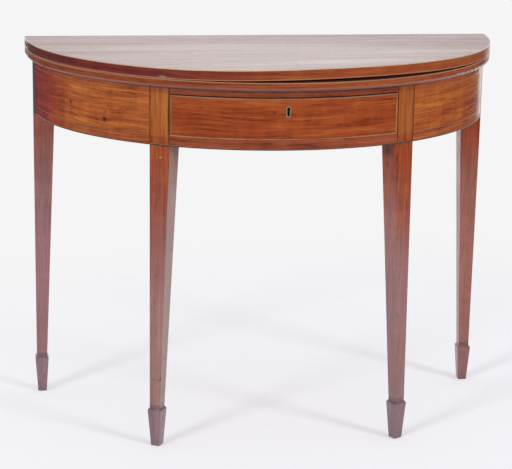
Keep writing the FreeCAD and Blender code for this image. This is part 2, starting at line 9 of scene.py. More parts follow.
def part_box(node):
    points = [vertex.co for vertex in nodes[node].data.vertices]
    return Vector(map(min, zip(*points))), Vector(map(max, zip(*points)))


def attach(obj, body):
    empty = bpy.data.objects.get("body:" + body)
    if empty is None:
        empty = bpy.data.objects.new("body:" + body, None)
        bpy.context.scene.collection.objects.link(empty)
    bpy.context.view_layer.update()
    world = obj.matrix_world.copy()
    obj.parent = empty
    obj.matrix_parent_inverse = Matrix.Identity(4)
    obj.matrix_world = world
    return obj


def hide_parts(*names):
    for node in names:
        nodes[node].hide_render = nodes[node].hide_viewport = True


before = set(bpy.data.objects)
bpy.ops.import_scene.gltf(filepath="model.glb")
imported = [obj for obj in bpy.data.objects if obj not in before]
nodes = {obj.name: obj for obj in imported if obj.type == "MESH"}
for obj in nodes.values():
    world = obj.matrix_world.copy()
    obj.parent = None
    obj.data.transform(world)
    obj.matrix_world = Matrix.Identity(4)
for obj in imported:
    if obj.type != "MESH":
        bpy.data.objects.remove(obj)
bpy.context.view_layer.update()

# Sizes read from the frame, in metres
BACK_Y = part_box("upper_leaf")[1].y
TOP_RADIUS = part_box("upper_leaf")[1].x
FRIEZE_RADIUS = BACK_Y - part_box("drawer_bottom_rail")[0].y
FRIEZE_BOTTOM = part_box("frieze_left")[0].z
LINE_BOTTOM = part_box("frieze_string_left")[0].z
LINE_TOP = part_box("frieze_string_left")[1].z
BEAD_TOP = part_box("frieze_bead")[1].z
FRIEZE_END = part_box("frieze_right")[1].x

# The photograph's frame and the camera that fits it
IMAGE_WIDTH = 512
IMAGE_HEIGHT = 469
FOCAL_PIXELS = 1905.5
CENTRE_X_PIXEL = 249.79
CENTRE_Y_PIXEL = 242.85
SENSOR_WIDTH = 36.0
CAMERA_PLACE = Vector((-0.4843, -3.5156, 1.2585))
CAMERA_YAW = 0.1261
CAMERA_PITCH = 0.2505
CAMERA_ROLL = 0.0130

# The upper leaf has lifted off the lower one along its rim, most a little right of the middle
WARP_HEIGHT = 0.0060
WARP_START = math.radians(-30)
WARP_CREST = math.radians(16)
WARP_END = math.radians(72)
# The share of the radius where the lift begins, and the least distance in front of the back edge
WARP_REACH = 0.62
LEAST_FORWARD = 1e-6
# How the lifted copies are welded, sliced and shaded
WELD_REACH = 1e-6
CUT_REACH = 1e-7
SLICE_STEP = 0.020
SHARP_ANGLE = math.radians(35)

# Woods, each from dark to light
MAHOGANY = ((0.120, 0.016, 0.005), (0.310, 0.060, 0.012), (0.450, 0.125, 0.026))
LEG_MAHOGANY = ((0.130, 0.016, 0.005), (0.345, 0.064, 0.013), (0.490, 0.135, 0.028))
BRIGHT_LEG_MAHOGANY = ((0.150, 0.017, 0.004), (0.400, 0.068, 0.012), (0.560, 0.142, 0.026))
DARK_LEG_MAHOGANY = ((0.120, 0.011, 0.003), (0.310, 0.042, 0.005), (0.450, 0.095, 0.014))
DRAWER_MAHOGANY = ((0.110, 0.012, 0.004), (0.325, 0.058, 0.011), (0.470, 0.125, 0.024))
GOLDEN_MAHOGANY = ((0.130, 0.017, 0.006), (0.385, 0.083, 0.013), (0.600, 0.205, 0.034))
LEFT_GOLDEN_MAHOGANY = ((0.145, 0.022, 0.009), (0.470, 0.122, 0.026), (0.670, 0.260, 0.058))
TABLET_MAHOGANY = ((0.240, 0.054, 0.012), (0.400, 0.112, 0.022), (0.500, 0.180, 0.042))
DARK_TABLET = ((0.210, 0.044, 0.010), (0.350, 0.092, 0.019), (0.440, 0.150, 0.036))
RAIL_MAHOGANY = ((0.120, 0.018, 0.010), (0.300, 0.065, 0.025), (0.420, 0.112, 0.042))
# The rail mahogany darkened as painted shade from the leaf's overhang
SHADED_TOP_RAIL_MAHOGANY = ((0.100, 0.015, 0.009), (0.245, 0.056, 0.023), (0.350, 0.098, 0.040))
RED_MAHOGANY = ((0.110, 0.009, 0.009), (0.290, 0.024, 0.020), (0.430, 0.062, 0.034))
MAROON_MAHOGANY = ((0.060, 0.007, 0.008), (0.135, 0.014, 0.014), (0.210, 0.030, 0.022))
TOP_MAHOGANY = ((0.120, 0.026, 0.017), (0.235, 0.064, 0.042), (0.330, 0.112, 0.074))
# Painted reflections of the pale floor on the legs, as a sheen
SHEEN_MAHOGANY = ((0.178, 0.060, 0.056), (0.279, 0.106, 0.097), (0.356, 0.160, 0.146))
# A painted reflection of the bright backdrop on a leg's side
SIDE_REFLECTION = ((0.200, 0.095, 0.068), (0.295, 0.148, 0.105), (0.370, 0.200, 0.150))
# More painted reflections of the floor, as sheens for the other legs
DULL_SHEEN = ((0.144, 0.046, 0.042), (0.230, 0.081, 0.075), (0.298, 0.124, 0.114))
COOL_SHEEN = ((0.150, 0.048, 0.057), (0.242, 0.085, 0.095), (0.310, 0.130, 0.140))
WARM_SHEEN = ((0.182, 0.050, 0.032), (0.282, 0.085, 0.054), (0.352, 0.128, 0.086))
SPADE_MAHOGANY = ((0.096, 0.039, 0.053), (0.168, 0.076, 0.102), (0.235, 0.120, 0.148))
WARM_SPADE = ((0.130, 0.044, 0.040), (0.225, 0.085, 0.078), (0.290, 0.130, 0.118))
DEAL = ((0.330, 0.175, 0.088), (0.450, 0.262, 0.140), (0.560, 0.360, 0.210))
TOP_LINE = ((0.530, 0.310, 0.185), (0.620, 0.390, 0.250), (0.690, 0.460, 0.310))
# The lines on the rims, darker than the top line with painted shade and dirt
SHADED_RIM_LINE = ((0.340, 0.125, 0.054), (0.400, 0.160, 0.072), (0.450, 0.200, 0.096))
SHADED_LOWER_LINE = ((0.330, 0.140, 0.066), (0.390, 0.180, 0.088), (0.450, 0.230, 0.120))
FRIEZE_LINE = ((0.220, 0.066, 0.022), (0.360, 0.125, 0.042), (0.450, 0.190, 0.072))
# Paler beads: their own wood, and partly a painted highlight along them
COCK_BEAD_AND_HIGHLIGHT = ((0.220, 0.075, 0.030), (0.360, 0.145, 0.065), (0.500, 0.260, 0.130))

# Metals, each from rubbed bright to tarnished
BRASS = ((0.46, 0.36, 0.24), (0.33, 0.26, 0.20), (0.16, 0.12, 0.10))
PALE_BRASS = ((0.80, 0.68, 0.48), (0.70, 0.57, 0.38), (0.45, 0.33, 0.20))
STEEL = ((0.50, 0.49, 0.48), (0.36, 0.34, 0.32), (0.20, 0.16, 0.13))

# Colours of dirt, rubbed wood and marks, and of painted shade and painted reflections
# Painted shade with grime: in corners, and as a shadow in the gap beside the drawer
GRIME_AND_SHADE = (0.030, 0.012, 0.008, 1.0)
PORE_COLOUR = (0.055, 0.012, 0.006, 1.0)
# Painted shade and grime on the bead under the frieze
BEAD_SHADE_AND_GRIME = (0.040, 0.018, 0.020, 1.0)
# Painted shade and grime on the front of a rear leg's post beside the frieze
POST_SHADE_AND_GRIME = (0.150, 0.104, 0.115, 1.0)
# A painted reflection on the front of a rear leg's post beside the frieze
POST_REFLECTION = (0.560, 0.500, 0.460, 1.0)
KNOT_BROWN = (0.045, 0.008, 0.004, 1.0)
# Stains, painted shade, and the darker colour low on the legs
STAIN_AND_SHADE_GREY = (0.060, 0.032, 0.036, 1.0)
# A painted reflection of the pale floor, grey, where a leaf's rim turns under
RIM_REFLECTION_GREY = (0.075, 0.050, 0.053, 1.0)
SCUFF_GREY = (0.330, 0.270, 0.235, 1.0)
FLECK_TAN = (0.620, 0.300, 0.120, 1.0)

# How shiny the polish is, as an index of refraction
POLISH = 1.5
LEG_POLISH = 1.9
DULL_LEG_POLISH = 1.7
LEAF_POLISH = 1.7

# How rough surfaces are: a leaf at its front and at its back, and a metal where it is rubbed bright
WOOD_ROUGHNESS = 0.18
LEG_ROUGHNESS = 0.15
DEAL_ROUGHNESS = 0.55
LEAF_ROUGHNESS = (0.17, 0.22)
BRASS_ROUGHNESS = 0.34
PALE_BRASS_ROUGHNESS = 0.38
STEEL_ROUGHNESS = 0.28

# The middle of a noise, a figure or a ramp, which run from 0 to 1
MIDDLE = 0.5

# Layers of the wood's figure: waves a metre along the grain, waves across it, and strength
FIGURE_LAYERS = ((2.5, 30.0, 0.9), (6.0, 130.0, 1.1), (10.0, 420.0, 0.9), (34.0, 12.0, 0.55))
FIGURE_DETAIL = 3.0
FIGURE_NOISE_ROUGHNESS = 0.6
DRIFT_WAVES = (5.0, 9.0, 9.0)
DRIFT_REACH = 0.014
SEED_STEP = Vector((1.7, 0.9, 0.6))
FIRST_TABLET_SEED = 7
FIRST_LEG_SEED = 9
FIRST_LEAF_SEED = 20

# Dark flecks and open pores along the grain
FINE_DETAIL = 1.0
FLECK_WAVES = (34.0, 420.0, 420.0)
FLECK_RANGE = (0.60, 0.72)
FLECK_DARKNESS = 0.22
PORE_WAVES = (130.0, 2100.0, 2100.0)
PORE_RANGE = (0.60, 0.74)
PORE_SHARE = 0.45

# Uneven wear: how it changes the roughness, and its relief beside that of the pores
WEAR_WAVES = (14.0, 14.0, 14.0)
LEAF_WEAR_WAVES = (1.6, 20.0, 20.0)
WEAR_DETAIL = 4.0
WEAR_NOISE_ROUGHNESS = 0.6
WEAR_RANGE = (0.3, 0.7)
WEAR_CHANGE = (-0.05, 0.07)
WEAR_RELIEF = 1.5
POLISH_RELIEF = 0.00010
POLISH_RELIEF_STRENGTH = 0.6

# Painted shade and grime in corners, and edges eased by use
SHADE_AND_GRIME_REACH = 0.006
SHADE_AND_GRIME_SAMPLES = 6
SHADE_AND_GRIME_RANGE = (0.25, 0.75)
SHADE_AND_GRIME_SHARE = 0.42
EDGE_ROUND = 0.0008
EDGE_SAMPLES = 4

# Ragged outlines of marks: waves a metre, and shares of the radius between which a mark fades
RAGGED_WAVES = (240.0, 240.0, 240.0)
MARK_CORE = 0.6
MARK_EDGE = 1.9

# Tarnish and scratches on metal
TARNISH_WAVES = (160.0, 160.0, 160.0)
TARNISH_DETAIL = 5.0
TARNISH_NOISE_ROUGHNESS = 0.65
TARNISH_RANGE = (0.30, 0.70)
DULL_RANGE = (0.30, 0.72)
DULL_RISE = 0.22
SCRATCH_WAVES = (300.0, 2600.0, 900.0)
SCRATCH_RELIEF = 0.00005
SCRATCH_RELIEF_STRENGTH = 0.5

# Leaves: what counts as a flat face, how red the left of the rim is, its patches, and the grey painted
# reflection of the floor where it turns under
FLAT_NORMAL = 0.72
LEAF_REDNESS = {"upper_leaf": 1.0, "lower_leaf": 0.35}
PATCH_WAVES = (14.0, 60.0, 60.0)
PATCH_RANGE = (0.35, 0.60)
PATCH_LEAST = 0.85
RED_RIM = (-0.33, 0.15)
UNDER_NORMALS = (-0.60, -0.20)
UNDER_REFLECTION_SHARE = 0.7

# Frieze: the band outside the inlaid line, and on the left the red part and the joint, by angle
BAND_SHARE = 0.55
VENEER_DEPTH = 0.002
RED_DEGREES = (-76, -54)
RED_SHARE = 0.8
JOINT_DEGREES = (-61.2, -60.4)
JOINT_SHARE = 0.2

# Tablets with their bands and lines, and how far below its top the bead under the frieze turns from painted
# shade and grime to its pale, worn edge, which is also a painted highlight
TABLET_WOODS = {"tablet_left": TABLET_MAHOGANY, "tablet_right": DARK_TABLET}
TABLET_BAND_BLUR = 0.0005
TABLET_BAND_SHARE = 0.6
TABLET_LINE_HALF = 0.0004
TABLET_LINE_SHARE = 0.5
BEAD_RUB_AND_HIGHLIGHT_START = 0.0012
BEAD_RUB_AND_HIGHLIGHT_END = 0.0004

# A leg's own wood, its polish, and its tints: a painted reflection of the floor as a sheen, the height where
# it fades and its share at the top of the leg, the spade foot, and on the front legs a painted reflection on
# the sides with its share, on the rear legs a colour for the post's front
LEG_LOOKS = {
    "front_leg_left": (LEG_MAHOGANY, LEG_POLISH, {
        "sheen": SHEEN_MAHOGANY, "sheen_height": 0.46, "high_sheen": 0.0, "foot": SPADE_MAHOGANY,
        "side": (SIDE_REFLECTION, 0.9)}),
    "front_leg_right": (BRIGHT_LEG_MAHOGANY, LEG_POLISH, {
        "sheen": DULL_SHEEN, "sheen_height": 0.44, "high_sheen": 0.0, "foot": SPADE_MAHOGANY,
        "side": (DULL_SHEEN, 0.2)}),
    "rear_leg_left": (LEG_MAHOGANY, LEG_POLISH, {
        "sheen": COOL_SHEEN, "sheen_height": 0.44, "high_sheen": 0.45, "foot": SPADE_MAHOGANY,
        "post_front": POST_SHADE_AND_GRIME}),
    "rear_leg_right": (DARK_LEG_MAHOGANY, DULL_LEG_POLISH, {
        "sheen": WARM_SHEEN, "sheen_height": 0.44, "high_sheen": 0.0, "foot": WARM_SPADE,
        "post_front": POST_REFLECTION}),
}

# The painted sheen at its fullest and how it fades, what counts as a leg's side, and as the front of its post
SHEEN_FULL = 0.92
SHEEN_FADE = 0.14
SIDE_FACING = (0.4, 0.6)
POST_FRONT_NORMALS = (-0.99, -0.95)

# Darker colours low on the legs, by height: the lower part, the spade foot, painted shade at its ledge, and
# the very bottom
LOW_DARKENING_HEIGHTS = (0.12, 0.30)
LOW_DARKENING_SHARE = 0.14
SPADE_TOP = 0.076
SPADE_BLUR = 0.001
SPADE_SHARE = 0.85
LEDGE_HEIGHT = SPADE_TOP + 0.003
LEDGE_SHADE_RANGE = (0.001, 0.005)
LEDGE_SHADE_SHARE = 0.70
BOTTOM_DARKENING_HEIGHT = 0.030
BOTTOM_DARKENING_SHARE = 0.40

# The paper floor: colour, fibres, and where it is whole and gone, for the camera and for other light
FLOOR_RADIUS = 4.0
FLOOR_SIDES = 96
FLOOR_CENTRE = (0.25, 0.10, 0.0)
FLOOR_COLOUR = (0.85, 0.86, 0.905)
FIBRE_WAVES = (90.0, 90.0, 90.0)
FIBRE_DETAIL = 5.0
FIBRE_NOISE_ROUGHNESS = 0.7
FIBRE_RANGE = (0.2, 0.8)
FIBRE_SHADES = (0.985, 1.015)
SEEN_FLOOR_FULL = 0.4
SEEN_FLOOR_GONE = 1.5
LIT_FLOOR_FULL = 1.4
LIT_FLOOR_GONE = 2.0

# The share of the floor's colour that the camera sees, and its glow for the camera and in shiny surfaces
FLOOR_SHADE = 0.90
FLOOR_GLOW = 0.305
FLOOR_MIRRORED = 1.0
FLOOR_GLOW_COLOUR = (0.905, 0.899, 0.945, 1.0)

# Lamps: degrees round from the front, watts, and whether one casts shadows
LAMPS = {
    "lamp_left": (-45, 235.0, True),
    "lamp_right": (45, 235.0, True),
    "lamp_back": (180, 130.0, False),
}
LAMP_DISTANCE = 8.0
LAMP_ELEVATION = math.radians(20)
LAMP_SIZE = 1.9
LAMP_AIM = Vector((0.0, 0.0, 0.45))

# The background that the camera sees, and even light from low and high directions
BACKGROUND_COLOUR = (0.915, 0.913, 0.915, 1.0)
AMBIENT_RISE = (0.10, 0.80)
AMBIENT_LOW = 0.60
AMBIENT_HIGH = 0.45

# The studio that shiny surfaces mirror: where its light changes, by direction, and how bright its parts are
BACKDROP_BEHIND = (0.50, 0.85)
BACKDROP_LEFT = (-0.28, -0.22)
BACKDROP_RIGHT = (0.46, 0.58)
BACKDROP_MIDDLE = 0.125
BACKDROP_ASIDE = (0.03, 0.17)
HORIZON = (-0.03, 0.06)
BACKDROP_LEVEL = 1.28
BACKDROP_SIDE_LEVEL = 0.90
BACKDROP_FOOT_LEVEL = 1.15
ROOM_LEVEL = 0.45
ROOM_FLOOR_LEVEL = 0.10


def on_curve(radius, degrees, height):
    """A point on an upright half-round surface, by the angle from the middle of the front."""
    angle = math.radians(degrees)
    return radius * math.sin(angle), BACK_Y - radius * math.cos(angle), height


# Marks on a piece: place, radius, how many times taller than wide, strength and colour
MARKS = {
    "frieze_left": (
        (on_curve(FRIEZE_RADIUS, -58.1, 0.631), 0.0045, 1.0, 0.85, KNOT_BROWN),
        (on_curve(FRIEZE_RADIUS, -45.8, 0.611), 0.0060, 1.0, 0.85, KNOT_BROWN),
        (on_curve(FRIEZE_RADIUS, -45.4, 0.627), 0.0030, 1.0, 0.60, KNOT_BROWN)),
    "leaf": (
        (on_curve(TOP_RADIUS, -28.6, 0.7040), 0.0100, 0.3, 0.60, SCUFF_GREY),
        (on_curve(TOP_RADIUS, -26.6, 0.7018), 0.0120, 0.2, 0.60, SCUFF_GREY)),
    "drawer": ((on_curve(FRIEZE_RADIUS, -3.2, 0.646), 0.0030, 1.0, 0.60, KNOT_BROWN),),
    # A painted shadow in the gap at the drawer's left edge
    "tablet_left": ((on_curve(FRIEZE_RADIUS, -27.95, 0.634), 0.0024, 16.0, 0.90, GRIME_AND_SHADE),),
    "front_leg_left": (
        ((-0.2228, -0.1573, 0.5542), 0.0022, 1.0, 0.80, FLECK_TAN),
        ((-0.2313, -0.1522, 0.3306), 0.0022, 1.0, 0.70, STAIN_AND_SHADE_GREY),
        ((-0.2340, -0.1507, 0.1316), 0.0050, 0.3, 0.60, STAIN_AND_SHADE_GREY),
        ((-0.2275, -0.1545, 0.1306), 0.0050, 0.3, 0.60, STAIN_AND_SHADE_GREY),
        ((-0.2220, -0.1577, 0.1335), 0.0035, 1.6, 0.90, STAIN_AND_SHADE_GREY),
        ((-0.2222, -0.1576, 0.1040), 0.0016, 12.0, 0.65, STAIN_AND_SHADE_GREY)),
    "front_leg_right": (
        # Two dark patches of painted shade high on the leg's inner side
        ((0.1970, -0.1491, 0.5570), 0.0130, 1.1, 0.65, STAIN_AND_SHADE_GREY),
        ((0.1950, -0.1455, 0.5330), 0.0060, 1.6, 0.60, STAIN_AND_SHADE_GREY),
        ((0.2216, -0.1579, 0.2469), 0.0022, 1.0, 0.70, KNOT_BROWN),
        ((0.2232, -0.1570, 0.1720), 0.0015, 20.0, 0.60, STAIN_AND_SHADE_GREY)),
    "rear_leg_left": (((-0.4400, 0.1640, 0.0540), 0.0022, 1.0, 0.80, FLECK_TAN),),
    "rear_leg_right": (((0.4319, 0.1640, 0.0573), 0.0022, 1.0, 0.80, FLECK_TAN),),
}


class Shader:
    """A node tree in the making. A number or colour goes on the socket itself, and a socket is linked."""

    def __init__(self, owner):
        owner.use_nodes = True
        self.owner = owner
        self.tree = owner.node_tree
        self.tree.nodes.clear()
        coordinates = self.node("ShaderNodeTexCoord").outputs
        self.point = coordinates["Object"]
        self.normal = coordinates["Normal"]
        self.direction = coordinates["Generated"]

    def node(self, kind, inputs=None, **settings):
        made = self.tree.nodes.new(kind)
        for name, value in settings.items():
            setattr(made, name, value)
        for key, value in (inputs or {}).items():
            if isinstance(value, bpy.types.NodeSocket):
                self.tree.links.new(value, made.inputs[key])
            else:
                made.inputs[key].default_value = value
        return made

    def math(self, operation, first, second=0.0):
        return self.node("ShaderNodeMath", {0: first, 1: second}, operation=operation).outputs[0]

    def vector(self, operation, first, second):
        return self.node("ShaderNodeVectorMath", {0: first, 1: second}, operation=operation).outputs[0]

    def length(self, vector):
        return self.node("ShaderNodeVectorMath", {0: vector}, operation="LENGTH").outputs["Value"]

    def dot(self, first, second):
        inputs = {0: first, 1: second}
        return self.node("ShaderNodeVectorMath", inputs, operation="DOT_PRODUCT").outputs["Value"]

    def split(self, vector):
        return tuple(self.node("ShaderNodeSeparateXYZ", {0: vector}).outputs)

    def join(self, x, y, z):
        return self.node("ShaderNodeCombineXYZ", {0: x, 1: y, 2: z}).outputs[0]

    def noise(self, vector, waves, detail=2.0, roughness=0.5):
        """Noise about 0.5, with so many waves a metre along each axis."""
        stretched = self.vector("MULTIPLY", vector, waves)
        inputs = {"Vector": stretched, "Scale": 1.0, "Detail": detail, "Roughness": roughness}
        return self.node("ShaderNodeTexNoise", inputs).outputs[0]

    def fade(self, value, low, high, start=0.0, end=1.0):
        """start below low, end above high, and a smooth step between."""
        inputs = {0: value, 1: low, 2: high, 3: start, 4: end}
        return self.node("ShaderNodeMapRange", inputs, interpolation_type="SMOOTHSTEP").outputs[0]

    def mix(self, share, first, second, blend="MIX"):
        inputs = {0: share, 6: first, 7: second}
        return self.node("ShaderNodeMix", inputs, data_type="RGBA", blend_type=blend).outputs[2]

    def ramp(self, value, colours):
        made = self.node("ShaderNodeValToRGB", {0: value})
        elements = made.color_ramp.elements
        while len(elements) < len(colours):
            elements.new(MIDDLE)
        for place, (element, colour) in enumerate(zip(elements, colours)):
            element.position = place / (len(colours) - 1)
            element.color = (*colour, 1.0)
        return made.outputs[0]

    def corners(self):
        """1 in the open, less in corners and cracks."""
        inputs = {"Distance": SHADE_AND_GRIME_REACH}
        return self.node("ShaderNodeAmbientOcclusion", inputs, samples=SHADE_AND_GRIME_SAMPLES).outputs["AO"]

    def bump(self, height, distance, strength):
        """A fine relief on edges that are eased a little."""
        eased = self.node("ShaderNodeBevel", {"Radius": EDGE_ROUND}, samples=EDGE_SAMPLES).outputs[0]
        inputs = {"Height": height, "Distance": distance, "Strength": strength, "Normal": eased}
        return self.node("ShaderNodeBump", inputs).outputs[0]

    def finish(self, surface, output="ShaderNodeOutputMaterial"):
        self.node(output, {"Surface": surface})
        return self.owner


def bent_grain(shader):
    """Along the half-round curve, up it and through it."""
    x, y, z = shader.split(shader.point)
    forward = shader.math("SUBTRACT", BACK_Y, y)
    angle = shader.math("ARCTAN2", x, forward)
    along = shader.math("MULTIPLY", angle, TOP_RADIUS)
    return shader.join(along, z, shader.length(shader.join(x, forward, 0.0)))


def lengthways_grain(shader):
    return shader.point


def crossways_grain(shader):
    x, y, z = shader.split(shader.point)
    return shader.join(y, x, z)


def upright_grain(shader):
    x, y, z = shader.split(shader.point)
    return shader.join(z, x, y)


def leaf_grain(shader):
    """Lengthways on the faces and the back edge, and bent round the rim."""
    straight = shader.math("MAXIMUM", face_share(shader), back_share(shader))
    return shader.mix(straight, bent_grain(shader), lengthways_grain(shader))


def face_share(shader):
    """1 on a leaf's flat faces and 0 on its rim."""
    upright = shader.math("ABSOLUTE", shader.split(shader.normal)[2])
    return shader.math("GREATER_THAN", upright, FLAT_NORMAL)


def back_share(shader):
    """1 on a leaf's straight back edge and 0 elsewhere."""
    return shader.math("GREATER_THAN", shader.split(shader.normal)[1], FLAT_NORMAL)


def figure(shader, grain, seed):
    """The wood's figure from 0, dark, to 1, light, and its pores from 0 to 1."""
    place = shader.vector("ADD", grain, SEED_STEP * seed)
    drift = shader.math("SUBTRACT", shader.noise(place, DRIFT_WAVES), MIDDLE)
    lean = shader.math("MULTIPLY", drift, DRIFT_REACH)
    place = shader.vector("ADD", place, shader.join(0.0, lean, lean))
    value = MIDDLE
    for along, across, strength in FIGURE_LAYERS:
        layer = shader.noise(place, (along, across, across), FIGURE_DETAIL, FIGURE_NOISE_ROUGHNESS)
        part = shader.math("MULTIPLY", shader.math("SUBTRACT", layer, MIDDLE), strength)
        value = shader.math("ADD", part, value)
    flecks = shader.noise(place, FLECK_WAVES, FINE_DETAIL)
    value = shader.math("SUBTRACT", value, shader.fade(flecks, *FLECK_RANGE, 0.0, FLECK_DARKNESS))
    pores = shader.fade(shader.noise(place, PORE_WAVES, FINE_DETAIL), *PORE_RANGE)
    return value, pores


def marked(shader, colour, marks):
    """Ragged spots of other colours."""
    for place, radius, tall, strength, paint in marks:
        offset = shader.vector("SUBTRACT", shader.point, place)
        offset = shader.vector("MULTIPLY", offset, (1.0, 1.0, 1.0 / tall))
        ragged = shader.math("MULTIPLY", shader.noise(shader.point, RAGGED_WAVES), radius)
        distance = shader.math("ADD", shader.length(offset), ragged)
        share = shader.fade(distance, radius * MARK_CORE, radius * MARK_EDGE, strength, 0.0)
        colour = shader.mix(share, colour, paint)
    return colour


def polished(shader, colour, pores, roughness, polish, wear_waves):
    """A hand-polished surface: worn polish, open pores, and painted shade with grime in the corners."""
    wear = shader.noise(shader.point, wear_waves, WEAR_DETAIL, WEAR_NOISE_ROUGHNESS)
    rough = shader.math("ADD", shader.fade(wear, *WEAR_RANGE, *WEAR_CHANGE), roughness)
    colour = shader.mix(shader.math("MULTIPLY", pores, PORE_SHARE), colour, PORE_COLOUR)
    # Painted shade and grime, darker where the corners shut out light
    colour = shader.mix(shader.fade(shader.corners(), *SHADE_AND_GRIME_RANGE, SHADE_AND_GRIME_SHARE, 0.0), colour, GRIME_AND_SHADE)
    ripple = shader.math("SUBTRACT", shader.math("MULTIPLY", wear, WEAR_RELIEF), pores)
    inputs = {"Base Color": colour, "Roughness": rough, "IOR": polish,
              "Normal": shader.bump(ripple, POLISH_RELIEF, POLISH_RELIEF_STRENGTH)}
    return shader.finish(shader.node("ShaderNodeBsdfPrincipled", inputs).outputs[0])


def wood(name, grain_of, colours, seed, tint=None, roughness=WOOD_ROUGHNESS, polish=POLISH, marks=()):
    """A polished wood; tint, if given, changes the colour by place on the piece."""
    shader = Shader(bpy.data.materials.new(name))
    grain = grain_of(shader)
    value, pores = figure(shader, grain, seed)
    colour = shader.ramp(value, colours)
    if tint:
        colour = tint(shader, grain, value, colour)
    colour = marked(shader, colour, marks)
    wear_waves = WEAR_WAVES
    if grain_of is leaf_grain:
        wear_waves = LEAF_WEAR_WAVES
        depth = shader.split(shader.point)[1]
        roughness = shader.fade(depth, BACK_Y - TOP_RADIUS, BACK_Y, *LEAF_ROUGHNESS)
    return polished(shader, colour, pores, roughness, polish, wear_waves)


def frieze_tint(shader, grain, value, colour):
    """A redder band outside the inlaid line."""
    height = shader.split(grain)[1]
    below = shader.math("LESS_THAN", height, LINE_BOTTOM)
    above = shader.math("GREATER_THAN", height, LINE_TOP)
    share = shader.math("MULTIPLY", shader.math("ADD", below, above), BAND_SHARE)
    return shader.mix(share, colour, shader.ramp(value, RAIL_MAHOGANY))


def towards_back(shader, along, degrees, share):
    """share beyond the first of two angles on the left, 0 before the second, and a smooth step between."""
    low, high = (TOP_RADIUS * math.radians(angle) for angle in degrees)
    return shader.fade(along, low, high, share, 0.0)


def left_frieze_tint(shader, grain, value, colour):
    """Redder towards the back, with a joint in the veneer."""
    along, _, depth = shader.split(grain)
    outside = shader.math("GREATER_THAN", depth, FRIEZE_RADIUS - VENEER_DEPTH)
    colour = frieze_tint(shader, grain, value, colour)
    deep = towards_back(shader, along, RED_DEGREES, RED_SHARE)
    joint = towards_back(shader, along, JOINT_DEGREES, JOINT_SHARE)
    share = shader.math("MULTIPLY", shader.math("ADD", deep, joint), outside)
    return shader.mix(share, colour, shader.ramp(value, RED_MAHOGANY))


def tablet_tint(shader, grain, value, colour):
    """Redder bands above and below the upright grain, with a fine line where they meet it."""
    height = shader.split(shader.point)[2]
    middle = (LINE_BOTTOM + LINE_TOP) / 2
    half = (LINE_TOP - LINE_BOTTOM) / 2
    offset = shader.math("ABSOLUTE", shader.math("SUBTRACT", height, middle))
    beyond = shader.fade(offset, half, half + TABLET_BAND_BLUR, 0.0, TABLET_BAND_SHARE)
    colour = shader.mix(beyond, colour, shader.ramp(value, RAIL_MAHOGANY))
    aside = shader.math("ABSOLUTE", shader.math("SUBTRACT", offset, half))
    line = shader.math("LESS_THAN", aside, TABLET_LINE_HALF)
    share = shader.math("MULTIPLY", line, TABLET_LINE_SHARE)
    return shader.mix(share, colour, shader.ramp(value, FRIEZE_LINE))


def bead_shade_and_highlight(shader, grain, value, colour):
    """Painted shade and grime below, and a pale upper edge that is wear and a painted highlight."""
    height = shader.split(shader.point)[2]
    share = shader.fade(height, BEAD_TOP - BEAD_RUB_AND_HIGHLIGHT_START, BEAD_TOP - BEAD_RUB_AND_HIGHLIGHT_END)
    return shader.mix(share, BEAD_SHADE_AND_GRIME, colour)


def side_share(shader, share):
    """share on the sides of a leg that faces outwards from the middle of the back, and 0 elsewhere."""
    outward = shader.vector("SUBTRACT", shader.point, (0.0, BACK_Y, 0.0))
    facing = shader.math("ABSOLUTE", shader.dot(outward, shader.normal))
    low, high = (FRIEZE_RADIUS * part for part in SIDE_FACING)
    return shader.fade(facing, low, high, share, 0.0)


def post_front_share(shader, height):
    """1 on the front of a leg's post beyond the end of the frieze, and 0 elsewhere."""
    post = shader.math("GREATER_THAN", height, FRIEZE_BOTTOM)
    front = shader.fade(shader.split(shader.normal)[1], *POST_FRONT_NORMALS, 1.0, 0.0)
    aside = shader.math("ABSOLUTE", shader.split(shader.point)[0])
    outside = shader.math("GREATER_THAN", aside, FRIEZE_END)
    return shader.math("MULTIPLY", shader.math("MULTIPLY", post, front), outside)


